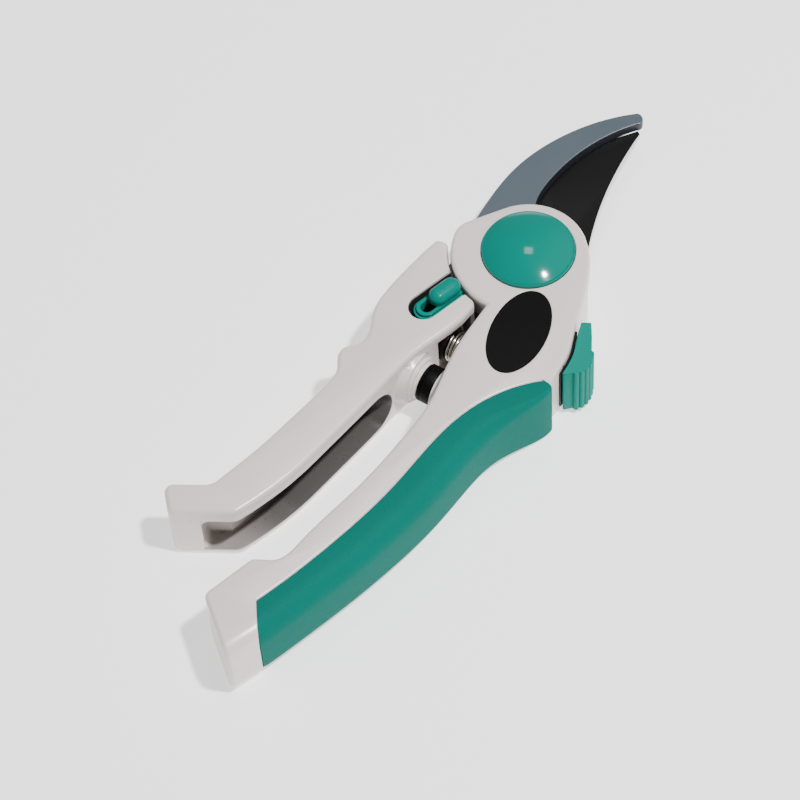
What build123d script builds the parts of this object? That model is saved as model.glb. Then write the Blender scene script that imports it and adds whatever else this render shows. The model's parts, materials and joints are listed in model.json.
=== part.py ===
"""Bypass pruning shears, closed and lying on their side.

The pivot axis is Z, the underside of both handles rests on Z = 0 and the blade points along +Y.
The body (right handle and head) carries the hook; the lever (left handle) carries the cutting blade.
All sizes are in millimetres.
"""
import os
from math import atan2, cos, degrees, radians, sin, sqrt

from build123d import *

os.makedirs("parts", exist_ok=True)

# Overall sizes
thickness = 20.5          # both handles and the head, from the resting face to the top
mid = thickness / 2
open_angle = 28           # how far the lever swings open, in degrees
running_gap = 0.05        # between faces that turn or slide on each other
shaft_gap = 0.05          # radial clearance of a shaft in its bore

# Layers at the pivot, from the resting face up
tang_height = 7.0         # the lever's round tang
blade_thickness = 3.2
hook_thickness = 3.2
blade_base = tang_height
blade_top = blade_base + blade_thickness
hook_base = blade_top + running_gap
hook_top = hook_base + hook_thickness

# Pivot
ring_radius = 15.3        # tang, blade ring and hook ring
pocket_gap = 1.1          # round the rings
pocket_radius = ring_radius + pocket_gap
bolt_radius = 4.0
bolt_head_radius = 7.0
bolt_head_height = 3.0
bush_radius = 6.0
thrust_washer = 0.75
head_recess_gap = 0.8
head_recess_radius = bolt_head_radius + head_recess_gap
head_recess_height = bolt_head_height + thrust_washer + running_gap
nut_flats = 12.0
nut_height = 3.6
nut_seat = thickness - 4.9   # height of the nut pocket's floor
lock_washer = 0.8
nut_pocket_radius = 9.2
nut_chamfer = 0.5
bolt_rise = 0.8           # past the nut
bolt_end = nut_seat + lock_washer + nut_height + bolt_rise
bolt_chamfer = 0.5
spanner_circle = 4.6      # two holes for a pin spanner in the bolt's head
spanner_radius = 1.0
spanner_depth = 1.8

# Pivot cap
cap_radius = 12.85
cap_inset = 0.8           # depth of its recess in the head
cap_rise = 4.3            # height of the dome over the head
cap_wall = 1.4
cap_skirt = 1.1           # thickness of the skirt that grips the nut pocket
cap_skirt_length = 3.5
cap_lip = 0.45
cap_gap = 0.15

# Screws that hold the hook and the blade on their rings
ring_screws = 3
ring_screw_circle = 11.4
ring_screw_radius = 1.5
ring_screw_head = 2.6
hook_screw_length = 4.6   # thread beyond the hook, into the head
blade_screw_length = 3.0  # thread beyond the blade, into the tang
ring_screw_start = 30     # angle of the first screw
screw_slot_width = 0.8
screw_slot_depth = 0.7

# Head of the body
head_radius = 16.2
head_start = 45           # the head's round end runs between these two angles
shoulder_angle = 145
rim_radius = 21.2         # the head's rounded left side, facing the lever
rim_end = 269.0           # angle where the rim meets the inner wall of the handle
head_round = 1.2
ridge_round = 0.7
ridge_middle = (9.8, -80.4)   # the long edge between the handle band and the grip
ridge_reach = 3.0
flank_middle = (18.0, -88.0)  # the grip's long outer edge
flank_reach = 6.0
grip_end_reach = 2.0

# Lever head
lever_arc = rim_radius + 0.8
lever_round = 1.4
lever_soft = 2.3          # corners of the lever's outline
bend_soft = 4.5

# Outline of the body, as seen from above
wall_x = rim_radius * cos(radians(rim_end))
notch_y = rim_radius * sin(radians(rim_end))
pocket_side = wall_x + 0.3    # the open space under the head plate
pocket_low = notch_y - 0.3
pocket_front = 0.5
pocket_out = 60.0
body_inner_wall = [(wall_x, -30.5), (1.0, -43.5), (3.3, -56), (3.2, -70), (1.3, -88), (-2.2, -109)]
body_flare = (-5.9, -117.4)
heel_inner = (-9.7, -119.4)
heel_point = (-14.4, -134.4)
heel_corner = (1.0, -146.8)
grip_end_outer = (4.6, -137.8)
grip_end_inner = (-1.7, -129.3)
grip_ridge = [grip_end_inner, (4.2, -110), (9.8, -80), (12.6, -56), (19.4, -41.4), (25.9, -34.4)]
grip_start = (28.9, -34.4)
neck_foot = (26.8, -34.4)
flank_line = [grip_start, (28.3, -39.5), (24.4, -48), (21.6, -59), (19.7, -80), (14.9, -104), grip_end_outer]
slider_side = [(27.2, -29.2), (27.0, -25.5), (26.4, -22.2), (25.2, -18.7), (23.8, -15)]
head_side_angles = (-13.5, 13.2)          # two more points of the flank, up to the head's round end
head_side_steps = (5.2, 1.26)             # and how far they stand out from the head's radius
heel_round = 5.0
heel_soft = 2.4
shoulder_soft = 6.0
grip_round = 5.6
grip_wall = 2.6
core_gap = 0.2            # more rubber at the flank
core_ridge = 2.0          # rubber behind the ridge
core_rise = 1.5           # how far the core runs on into the neck

# Outline of the lever, as seen from above
lever_tip_angle = 203.5
lever_tip_outer = (-23.4, -9.2)
lever_tip_round = 1.5
prong_angle = 262.5
lever_tip = (lever_arc * cos(radians(lever_tip_angle)), lever_arc * sin(radians(lever_tip_angle)))
prong_tip = (lever_arc * cos(radians(prong_angle)), lever_arc * sin(radians(prong_angle)))
prong_root = (-3.3, -27.5)
lever_inner_wall = [prong_root, (-4.4, -32.5), (-7.9, -43.5), (-10.3, -60), (-13.0, -80), (-19.2, -106.5)]
lever_bend = (-20.9, -110.8)
lever_end_inner = (-36.2, -119.4)
lever_end_outer = (-42.4, -112.7)
lever_flare = (-31.4, -106.2)
lever_outer_wall = [
    (-30.7, -103.4), (-27.7, -91.5), (-25.1, -77), (-23.2, -63), (-23.5, -59.2), (-25.6, -55.6),
    (-25.7, -52.3), (-23.2, -49.4), (-22.6, -46), (-25.3, -39), (-26.2, -30), (-25.1, -18.5), lever_tip_outer,
]

tang_neck = [
    (-15.0, -0.5), (-21.4, -5.4), (-22.4, -11.5), (-23.6, -16.0), (-20.0, -27.0), (-5.0, -27.0), (-1.5, -15.0),
]

# Finger channel in the lever's inner wall
channel_floor = [(-16.5, -50), (-18.4, -66), (-20.6, -82), (-24.6, -102)]
channel_corner = (-26.0, -107.3)
channel_stop = (-31.8, -110.6)
channel_mouth = (-28.2, -117.0)
channel_low = 2.1         # the channel's lower wall is thin
channel_high = 16.05
channel_start = -54.2
channel_end = -125.0
channel_round = 3.0       # the two corners at the channel's blind end
channel_out = [(0, -100), (0, -50)]   # the cutter runs out past the lever's inner wall
channel_reach = 40.0

# Hook and blade outlines
hook_inner_edge = [(-6.2, 14.6), (-9.6, 20.0), (-10.3, 27.5), (-8.9, 38), (-4.8, 49.5), (0.55, 58.0)]
hook_tip = [(0.55, 58.0), (1.4, 59.6), (0.6, 61.0), (-1.4, 61.5)]
hook_outer_edge = [(-1.4, 61.5), (-8.6, 54.2), (-16.6, 41.2), (-20.9, 27), (-21.4, 14), (-20.7, 4.0)]
hook_heel = [(-18.6, -3.2), (-12.0, -6.0)]   # joins the hook to its ring
blade_heel = [(-6.0, -9.0), (6.0, -9.0)]     # joins the blade to its ring
blade_spine = [(13.9, 6.4), (8.8, 18.4), (4.9, 31.5), (2.6, 45), (1.8, 57.6)]
blade_edge = [(0.8, 58.2), (-6.4, 48), (-12.0, 35), (-13.9, 21), (-11.7, 9.8)]
bevel_height = 2.5
bevel_width = 4.2

# Rubber bumper, its boss on the lever and its pad on the body; their axis runs along X
bumper_y = -45.2
bumper_radius = 5.4
bumper_lever_face = -4.8
bumper_body_face = -0.3
pad_root = 5.0            # the pad starts inside the body
boss_step = 1.0
boss_step_radius = bumper_radius + 0.9
boss_radius = boss_step_radius + 1.1
boss_flare = 2.0
boss_root = -12.0
pad_radius = bumper_radius + 0.9
bumper_round = 0.8
bumper_screw_radius = 1.3
bumper_screw_head = 2.4
bumper_screw_sink = 0.8       # from the bumper's face down to the screw's head
bumper_screw_thickness = 1.2
bumper_screw_end = -10.5

# Return spring between the handles; its axis runs along X
spring_y = -31.2
spring_radius = 4.6       # outside of the coil
wire_radius = 0.42
spring_turns = 7
spring_lever_end = -5.1
spring_body_end = 2.6
seat_thickness = 0.8      # of the body's seat
lever_seat_thickness = 2.6
seat_radius = spring_radius + 0.6
seat_peg_radius = spring_radius - 2 * wire_radius - 0.86
seat_peg_height = 2.0
seat_gap = 0.1

spring_recess_floor = [(-5.8, -24.8), (-7.6, -36.8)]   # recess in the lever's inner wall, round the spring
spring_recess_height = 14.0

# Lock knob in the lever's slot
slot_angle = 73.0
slot_start = (-14.3, -30.5)
slot_radius = 4.2
slot_depth = 4.6
guide_radius = slot_radius - 0.75
guide_start = 0.8
guide_drop = 2.1          # from the lever's top to the guide's outer step
guide_lip_radius = guide_radius - 0.7
guide_lip = 0.9
window_radius = 1.75
window_start = 1.1
window_end = 8.9
stem_radius = window_radius - 0.12
stem_start = 5.8
stem_end = 8.8
knob_radius = 2.7
knob_centre = 7.4
knob_length = 9.9
knob_rise = 2.2
knob_round = 2.3
lock_travel = 4.6
lock_gap = 0.1            # above and below the bolt
lock_bolt_width = 5.0
lock_bolt_thickness = 2.0
lock_bolt_start = 3.4
lock_bolt_end = 14.0
lock_nose_round = 1.6
lock_pocket_width = lock_bolt_width + 0.4
lock_pocket_start = lock_bolt_start - lock_travel - 1.0
lock_pocket_height = lock_bolt_thickness + 2 * lock_gap
lock_screw_radius = 1.1
lock_screw_head = 1.9
lock_screw_length = 5.0
slot_run = 20.0           # the slot and its pocket run out through the lever's end
ball_radius = 1.2
ball_place = 6.4
ball_hole_depth = 5.0
dimple_depth = 0.2
detent_wire = 0.2
detent_turns = 4

slot_floor = thickness - slot_depth
pocket_floor = slot_floor - lock_pocket_height
ball_z = pocket_floor + lock_gap - running_gap - ball_radius

groove_radius = 18.8      # the bolt's nose runs in a groove in the head's rim
groove_end = 251.0
groove_width = 26.0       # angle that the nose takes up while the lever is closed
groove_start = groove_end - groove_width - open_angle
groove_out = 2.0          # the cutter runs out past the rim
groove_gap = 0.25         # under and over the lever's pocket

# Thumb slider on the flank of the head
slider_wrap = (0.6, 0.12)     # from the flank to the outside of the black strip
slider_gap = (0.35, 0.08)     # from the strip to the slider
slider_height = 17.0
slider_back = [(26.4, -10.9), (29.2, -15.3), (31.4, -19.5), (32.5, -22.9), (32.2, -25.2), (30.9, -27.0)]
slider_nose = (24.0, -12.2)
slider_toe = (28.7, -29.2)
slider_travel = 5.5
slide_angle = 96.0            # direction of travel, towards the head
slide_origin = (27.0, -24.0)
shank_length = 5.0
shank_height = 5.0
shank_root = -2.6             # the shank starts inside the slider
shank_reach = 4.2             # from the slide line into the casting
plate_length = 5.2
plate_height = 8.6
plate_thickness = 1.8
plate_corner = 1.5
peg_radius = 1.4              # the shank's peg, pressed into the plate
slide_gap = 0.3
strip_height = 15.3
strip_reach = 4.0             # the shank's slot cuts this far to both sides of the slide line
strip_peg_radius = 0.8
strip_peg_offset = 6.0
strip_peg_y = -27.4
strip_peg_length = 3.2
rib_count = 6
rib_radius = 0.85
rib_start = 0.55              # first rib and the step to the next, as shares of the slider's back
rib_step = 0.087

# Oval badge
badge_angle = -64.0       # direction from the pivot, and the distance from the cap's rim
badge_away = 14.3
badge_long = 14.0
badge_short = 7.8
badge_tilt = 100.3
badge_depth = 0.6


def at(origin, angle, along, across=0.0):
    """A point measured along a direction and across it."""
    a = radians(angle)
    return (origin[0] + along * cos(a) - across * sin(a), origin[1] + along * sin(a) + across * cos(a))


def on_slot(along, across=0.0, z=0.0):
    """A point on the lock's line, or beside it."""
    return (*at(slot_start, slot_angle, along, across), z)


def shifted(points, step):
    return [(x + step[0], y + step[1]) for x, y in points]


def top_and_bottom(part, height=thickness):
    """The edges of the top and bottom faces of an upright extrusion."""
    edges = part.edges()
    return edges.filter_by_position(Axis.Z, height - 0.01, height + 0.01) + edges.filter_by_position(
        Axis.Z, -0.01, 0.01
    )


def near(edges, points, reach=0.6):
    """The edges whose middle lies close to one of the points, seen from above."""
    found = []
    for edge in edges:
        m = edge @ 0.5
        if any(sqrt((m.X - x) ** 2 + (m.Y - y) ** 2) < reach for x, y in points):
            found.append(edge)
    return ShapeList(found)


def stadium(radius, start, end):
    """A slot shape between two centres on the lock's line, as a closed outline."""
    left = Line(on_slot(start, radius), on_slot(end, radius))
    right = Line(on_slot(end, -radius), on_slot(start, -radius))
    ThreePointArc(left @ 1, on_slot(end + radius), right @ 0)
    ThreePointArc(right @ 1, on_slot(start - radius), left @ 0)


def middle(a, b):
    return ((a[0] + b[0]) / 2, (a[1] + b[1]) / 2)


def near_points(corners, points, reach=0.2):
    """The corners of a sketch that lie at one of the points."""
    found = []
    for corner in corners:
        if any(sqrt((corner.X - p[0]) ** 2 + (corner.Y - p[1]) ** 2) < reach for p in points):
            found.append(corner)
    return ShapeList(found)


slope_length = sqrt(rim_radius**2 - head_radius**2)
rim_start = at((0, 0), shoulder_angle, head_radius, slope_length)
upright = (Align.CENTER, Align.CENTER, Align.MIN)


def ring_places(first):
    return PolarLocations(ring_screw_circle, ring_screws, start_angle=first)


def across_x(x, y, z=mid):
    """A plane square to X, facing the body."""
    return Plane(origin=(x, y, z), x_dir=(0, 1, 0), z_dir=(1, 0, 0))


# --- Body casting: head, handle band, heel and the core under the grip -------------------------

def body_lines():
    """The casting from above: over the head, down the inner wall, round the heel and back up the ridge."""
    head_arc = CenterArc((0, 0), head_radius, head_start, shoulder_angle - head_start)
    Line(head_arc @ 1, rim_start)
    first = degrees(atan2(rim_start[1], rim_start[0])) % 360
    rim = CenterArc((0, 0), rim_radius, first, rim_end - first)
    Line(rim @ 1, body_inner_wall[0])
    wall = Spline(body_inner_wall + [body_flare], tangents=[(0, -1), (-0.9, -0.42)])
    Polyline(wall @ 1, heel_inner, heel_point, heel_corner, grip_end_outer, grip_end_inner)
    Spline(grip_ridge)
    Polyline(grip_ridge[-1], neck_foot, slider_side[0])
    rest = [at((0, 0), angle, head_radius + step) for angle, step in zip(head_side_angles, head_side_steps)]
    Spline(slider_side + rest + [head_arc @ 0], tangents=[(0, 1), (-1, 1)])


def grip_lines():
    """The grip from above: up the ridge, across its top end and down the flank."""
    Spline(grip_ridge)
    Line(grip_ridge[-1], grip_start)
    Spline(flank_line)
    Line(grip_end_outer, grip_end_inner)


def core_lines():
    """The casting's core inside the grip; it runs on into the neck and the heel."""
    flank = shifted(flank_line, (-grip_wall - core_gap, 0))
    ridge = shifted(grip_ridge, (-core_ridge, 0))
    top = grip_start[1] + core_rise
    first = (flank[0][0], top)
    last = (ridge[-1][0], top)
    Polyline(last, first, flank[0])
    Spline(flank)
    Line(flank[-1], ridge[0])
    Spline(ridge)
    Line(ridge[-1], last)


def core_solid(mode):
    """Adds the core to the part that is being built, or cuts it out."""
    with BuildSketch(Plane.XY.offset(grip_wall)) as core:
        with BuildLine():
            core_lines()
        make_face()
    extrude(core.sketch, amount=thickness - 2 * grip_wall, mode=mode)


def along_x(radius, start, end, y, mode=Mode.ADD):
    """A cylinder along X at half height, between two X positions."""
    with BuildSketch(across_x(start, y)) as disc:
        Circle(radius)
    extrude(disc.sketch, amount=end - start, mode=mode)


def slide_block(start, end, reach, depth, height, mode):
    """A block on the slider's line of travel: start and end along it, reach and depth into the flank."""
    corners = [
        at(slide_origin, slide_angle, start, reach),
        at(slide_origin, slide_angle, end, reach),
        at(slide_origin, slide_angle, end, depth),
        at(slide_origin, slide_angle, start, depth),
    ]
    with BuildSketch(Plane.XY.offset(mid - height / 2)) as block:
        with BuildLine():
            Polyline(corners, close=True)
        make_face()
    extrude(block.sketch, amount=height, mode=mode)


def shank_slot(reach, depth):
    """Cuts the slot that the slider's shank travels in."""
    end = shank_length / 2 + slide_gap
    slide_block(-end, end + slider_travel, reach, depth, shank_height + 2 * slide_gap, Mode.SUBTRACT)


def slide_slot():
    """Cuts the T-shaped slot for the slider's shank and the plate behind it."""
    end = plate_height / 2 + slide_gap
    floor = shank_reach + plate_thickness + slide_gap
    shank_slot(-strip_reach, shank_reach)
    slide_block(-end, end + slider_travel, shank_reach - slide_gap, floor, 2 * end, Mode.SUBTRACT)


def slide_plane(depth):
    """A plane square to the shank, at a depth into the flank."""
    way = at((0, 0), slide_angle, 1)
    place = (*at(slide_origin, slide_angle, 0, depth), mid)
    return Plane(origin=place, x_dir=way, z_dir=(-way[1], way[0], 0))


def slider_peg(radius, mode):
    """The peg at the end of the slider's shank."""
    with BuildSketch(slide_plane(shank_reach)) as disc:
        Circle(radius)
    extrude(disc.sketch, amount=plate_thickness, mode=mode)


def strip_pegs(radius, gap, mode):
    """The two pegs that hold the strip behind the slider, or their holes."""
    start = slider_side[0][0] - strip_peg_length - gap
    for offset in (-strip_peg_offset, strip_peg_offset):
        with BuildSketch(across_x(start, strip_peg_y, mid + offset)) as disc:
            Circle(radius)
        extrude(disc.sketch, amount=strip_peg_length + gap, mode=mode)


def ring_screw_holes(base, up, length, through):
    """Countersunk holes on the screw circle; the heads start at base and the threads run up or down."""
    turn = 0 if up > 0 else 180
    first = ring_screw_start if up > 0 else ring_screw_start + 180 / ring_screws
    with ring_places(first):
        with Locations(Location((0, 0, base), (turn, 0, 0))):
            Cylinder(
                ring_screw_radius + shaft_gap,
                through + length + shaft_gap,
                align=upright,
                mode=Mode.SUBTRACT,
            )
            Cone(
                ring_screw_head + shaft_gap,
                ring_screw_radius + shaft_gap,
                ring_screw_head - ring_screw_radius,
                align=upright,
                mode=Mode.SUBTRACT,
            )


with BuildPart() as body_casting:
    with BuildSketch() as plan:
        with BuildLine():
            body_lines()
        make_face()
        fillet(near_points(plan.vertices(), [heel_inner, heel_point]), heel_soft)
        fillet(near_points(plan.vertices(), [rim_start]), shoulder_soft)
    extrude(amount=thickness)
    fillet(near(top_and_bottom(body_casting.part), [middle(heel_corner, grip_end_outer)]), heel_round)
    outline = top_and_bottom(body_casting.part)
    ridge = near(outline, [ridge_middle], ridge_reach)
    end_middles = [middle(grip_end_inner, grip_end_outer), middle(grip_ridge[-1], neck_foot)]
    grip_ends = near(outline, end_middles, grip_end_reach)
    fillet(ridge, ridge_round)
    fillet(ShapeList(e for e in outline if e not in ridge and e not in grip_ends), head_round)
    core_solid(Mode.ADD)
    # room for the lever's tang, the blade and the hook under the head plate
    with BuildSketch():
        Circle(pocket_radius)
        with BuildLine():
            Polyline(
                (pocket_side, pocket_low), (pocket_side, pocket_front), (pocket_out, pocket_front),
                (pocket_out, pocket_out), (-pocket_out, pocket_out), (-pocket_out, pocket_low), close=True,
            )
        make_face()
    extrude(amount=hook_top, mode=Mode.SUBTRACT)
    ring_screw_holes(hook_base, 1, hook_screw_length, hook_thickness)
    with BuildSketch(Plane.XY.offset(hook_top)):
        Circle(bolt_radius + shaft_gap)
    extrude(amount=nut_seat - hook_top, mode=Mode.SUBTRACT)
    with BuildSketch(Plane.XY.offset(nut_seat)):
        Circle(nut_pocket_radius)
    extrude(amount=thickness - nut_seat, mode=Mode.SUBTRACT)
    with BuildSketch(Plane.XY.offset(thickness - cap_inset)):
        Circle(cap_radius + cap_gap)
    extrude(amount=cap_inset, mode=Mode.SUBTRACT)
    with BuildSketch(Plane.XY.offset(thickness - badge_depth)):
        with Locations(at((0, 0), badge_angle, cap_radius + badge_away)):
            Ellipse(badge_long, badge_short, rotation=badge_tilt)
    extrude(amount=badge_depth, mode=Mode.SUBTRACT)
    slide_slot()
    strip_pegs(strip_peg_radius + shaft_gap, shaft_gap, Mode.SUBTRACT)
    body_seat_floor = spring_body_end + seat_gap + seat_thickness
    along_x(seat_radius + shaft_gap, -seat_radius, body_seat_floor, spring_y, Mode.SUBTRACT)
    # pad that the bumper closes on
    along_x(pad_radius, bumper_body_face + running_gap, pad_root, bumper_y)
    # groove in the rim for the nose of the lock bolt
    with BuildSketch(Plane.XY.offset(pocket_floor - groove_gap)):
        with BuildLine():
            outer = CenterArc((0, 0), rim_radius + groove_out, groove_start, groove_end - groove_start)
            inner = CenterArc((0, 0), groove_radius, groove_start, groove_end - groove_start)
            Line(outer @ 0, inner @ 0)
            Line(outer @ 1, inner @ 1)
        make_face()
    extrude(amount=lock_pocket_height + 2 * groove_gap, mode=Mode.SUBTRACT)
body_casting.part.label = "body_casting"
export_step(body_casting.part, "parts/body_casting.step")

with BuildPart() as handle_grip:
    with BuildSketch():
        with BuildLine():
            grip_lines()
        make_face()
    extrude(amount=thickness)
    outline = top_and_bottom(handle_grip.part)
    fillet(near(outline, [flank_middle], flank_reach), grip_round)
    fillet(near(top_and_bottom(handle_grip.part), [ridge_middle], ridge_reach), ridge_round)
    core_solid(Mode.SUBTRACT)
handle_grip.part.label = "handle_grip"
export_step(handle_grip.part, "parts/handle_grip.step")

with BuildPart() as badge_plate:
    with BuildSketch(Plane.XY.offset(thickness - badge_depth)):
        with Locations(at((0, 0), badge_angle, cap_radius + badge_away)):
            Ellipse(badge_long - shaft_gap, badge_short - shaft_gap, rotation=badge_tilt)
    extrude(amount=badge_depth)
badge_plate.part.label = "badge_plate"
export_step(badge_plate.part, "parts/badge_plate.step")


# --- Hook and cutting blade --------------------------------------------------------------------

with BuildPart() as hook_blade:
    with BuildSketch(Plane.XY.offset(hook_base)):
        Circle(ring_radius)
        with BuildLine():
            Spline(hook_inner_edge)
            Spline(hook_tip)
            Spline(hook_outer_edge)
            Polyline(hook_outer_edge[-1], *hook_heel, hook_inner_edge[0])
        make_face()
        Circle(bush_radius + shaft_gap, mode=Mode.SUBTRACT)
    extrude(amount=hook_thickness)
    ring_screw_holes(hook_base, 1, hook_screw_length, hook_thickness)
hook_blade.part.label = "hook_blade"
export_step(hook_blade.part, "parts/hook_blade.step")

with BuildPart() as cutting_blade:
    with BuildSketch(Plane.XY.offset(blade_base)):
        Circle(ring_radius)
        with BuildLine():
            Spline(blade_spine)
            Line(blade_spine[-1], blade_edge[0])
            Spline(blade_edge)
            Polyline(blade_edge[-1], *blade_heel, blade_spine[0])
        make_face()
        Circle(bush_radius + shaft_gap, mode=Mode.SUBTRACT)
    extrude(amount=blade_thickness)
    low_edge = cutting_blade.edges().filter_by_position(Axis.Z, blade_base - 0.01, blade_base + 0.01)
    bevel = near(low_edge, [blade_edge[2]], bevel_width)
    chamfer(bevel, bevel_height, bevel_width)
    ring_screw_holes(blade_top, -1, blade_screw_length, blade_thickness)
cutting_blade.part.label = "cutting_blade"
export_step(cutting_blade.part, "parts/cutting_blade.step")


def ring_screw_group(base, up, length, through):
    """Three countersunk screws with slotted heads, flush with the face at base."""
    turn = 0 if up > 0 else 180
    first = ring_screw_start if up > 0 else ring_screw_start + 180 / ring_screws
    with ring_places(first):
        with Locations(Location((0, 0, base), (turn, 0, 0))):
            Cylinder(ring_screw_radius, through + length, align=upright)
            Cone(
                ring_screw_head,
                ring_screw_radius,
                ring_screw_head - ring_screw_radius,
                align=upright,
            )
            Box(
                2 * ring_screw_head,
                screw_slot_width,
                screw_slot_depth,
                align=upright,
                mode=Mode.SUBTRACT,
            )


with BuildPart() as hook_screws:
    ring_screw_group(hook_base, 1, hook_screw_length, hook_thickness)
hook_screws.part.label = "hook_screws"
export_step(hook_screws.part, "parts/hook_screws.step")

with BuildPart() as blade_screws:
    ring_screw_group(blade_top, -1, blade_screw_length, blade_thickness)
blade_screws.part.label = "blade_screws"
export_step(blade_screws.part, "parts/blade_screws.step")


# --- Pivot -------------------------------------------------------------------------------------

with BuildPart() as pivot_bolt:
    with BuildSketch():
        Circle(bolt_head_radius)
    extrude(amount=bolt_head_height)
    chamfer(pivot_bolt.edges().group_by(Axis.Z)[0], bolt_chamfer)
    with BuildSketch(Plane.XY.offset(bolt_head_height)):
        Circle(bolt_radius)
    extrude(amount=bolt_end - bolt_head_height)
    chamfer(pivot_bolt.edges().group_by(Axis.Z)[-1], bolt_chamfer)
    with BuildSketch():
        with PolarLocations(spanner_circle, 2):
            Circle(spanner_radius)
    extrude(amount=spanner_depth, mode=Mode.SUBTRACT)
pivot_bolt.part.label = "pivot_bolt"
export_step(pivot_bolt.part, "parts/pivot_bolt.step")


def ring(outer, inner, base, height, name):
    """A flat ring on the pivot axis, written to its own file."""
    with BuildPart() as part:
        with BuildSketch(Plane.XY.offset(base)):
            Circle(outer)
            Circle(inner, mode=Mode.SUBTRACT)
        extrude(amount=height)
    part.part.label = name
    export_step(part.part, f"parts/{name}.step")


bore = bolt_radius + shaft_gap
ring(bolt_head_radius, bore, bolt_head_height, thrust_washer, "thrust_washer")
bush_base = bolt_head_height + thrust_washer
ring(bush_radius, bore, bush_base, hook_top - bush_base, "pivot_bush")
ring(nut_flats / 2, bore, nut_seat, lock_washer, "lock_washer")

with BuildPart() as pivot_nut:
    with BuildSketch(Plane.XY.offset(nut_seat + lock_washer)):
        RegularPolygon(nut_flats / 2, 6, major_radius=False)
        Circle(bore, mode=Mode.SUBTRACT)
    extrude(amount=nut_height)
    chamfer(pivot_nut.edges().filter_by(GeomType.LINE).group_by(Axis.Z)[-1], nut_chamfer)
pivot_nut.part.label = "pivot_nut"
export_step(pivot_nut.part, "parts/pivot_nut.step")

cap_base = thickness - cap_inset
cap_top = thickness + cap_rise
skirt_radius = nut_pocket_radius - shaft_gap
skirt_end = cap_base - cap_skirt_length
with BuildPart() as pivot_cap:
    with BuildSketch(Plane.XZ):
        with BuildLine():
            dome = TangentArc((0, cap_top), (cap_radius - cap_lip, thickness + cap_lip), tangent=(1, 0))
            inside = TangentArc((0, cap_top - cap_wall), (skirt_radius - cap_skirt, cap_base), tangent=(1, 0))
            Line(dome @ 0, inside @ 0)
            Polyline(
                dome @ 1,
                (cap_radius, thickness),
                (cap_radius, cap_base),
                (skirt_radius, cap_base),
                (skirt_radius, skirt_end),
                (skirt_radius - cap_skirt, skirt_end),
                inside @ 1,
            )
        make_face()
    revolve(axis=Axis.Z)
pivot_cap.part.label = "pivot_cap"
export_step(pivot_cap.part, "parts/pivot_cap.step")


# --- Lever -------------------------------------------------------------------------------------

def lever_lines():
    """The lever from above: along its head, down the inner wall, round the flared end and back up."""
    head = CenterArc((0, 0), lever_arc, lever_tip_angle, prong_angle - lever_tip_angle)
    Line(head @ 1, prong_root)
    wall = Spline(lever_inner_wall, tangents=[(-0.1, -1), (-0.35, -0.94)])
    Polyline(wall @ 1, lever_bend, lever_end_inner, lever_end_outer, lever_flare, lever_outer_wall[0])
    wall_outside = Spline(lever_outer_wall, tangents=[(0.24, 0.97), (0.26, 0.965)])
    Line(wall_outside @ 1, head @ 0)


def slot_shape(radius, start, end, base, height, mode=Mode.ADD):
    """A stadium on the lock's line, from base upwards."""
    with BuildSketch(Plane.XY.offset(base)) as outline:
        with BuildLine():
            stadium(radius, start, end)
        make_face()
    extrude(outline.sketch, amount=height, mode=mode)


def lock_bar(width, start, end):
    """The four corners of a flat bar on the lock's line."""
    half = width / 2
    return [on_slot(start, half), on_slot(end, half), on_slot(end, -half), on_slot(start, -half)]


with BuildPart() as channel:
    with BuildSketch():
        with BuildLine():
            floor = Spline(channel_floor)
            Polyline(floor @ 1, channel_corner, channel_stop, channel_mouth, *channel_out, floor @ 0)
        make_face()
    extrude(amount=thickness)
    with BuildSketch(Plane.YZ.offset(channel_stop[0] - 1)):
        with BuildLine():
            half = (channel_high - channel_low) / 2
            upper = ThreePointArc(
                (channel_start - half, channel_low),
                (channel_start, channel_low + half),
                (channel_start - half, channel_high),
            )
            Polyline(upper @ 1, (channel_end, channel_high), (channel_end, channel_low), upper @ 0)
        make_face()
    extrude(amount=channel_reach, mode=Mode.INTERSECT)
    end_corners = near(channel.edges(), [middle(channel_stop, channel_mouth)], channel_round / 2)
    fillet(end_corners, channel_round)

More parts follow.
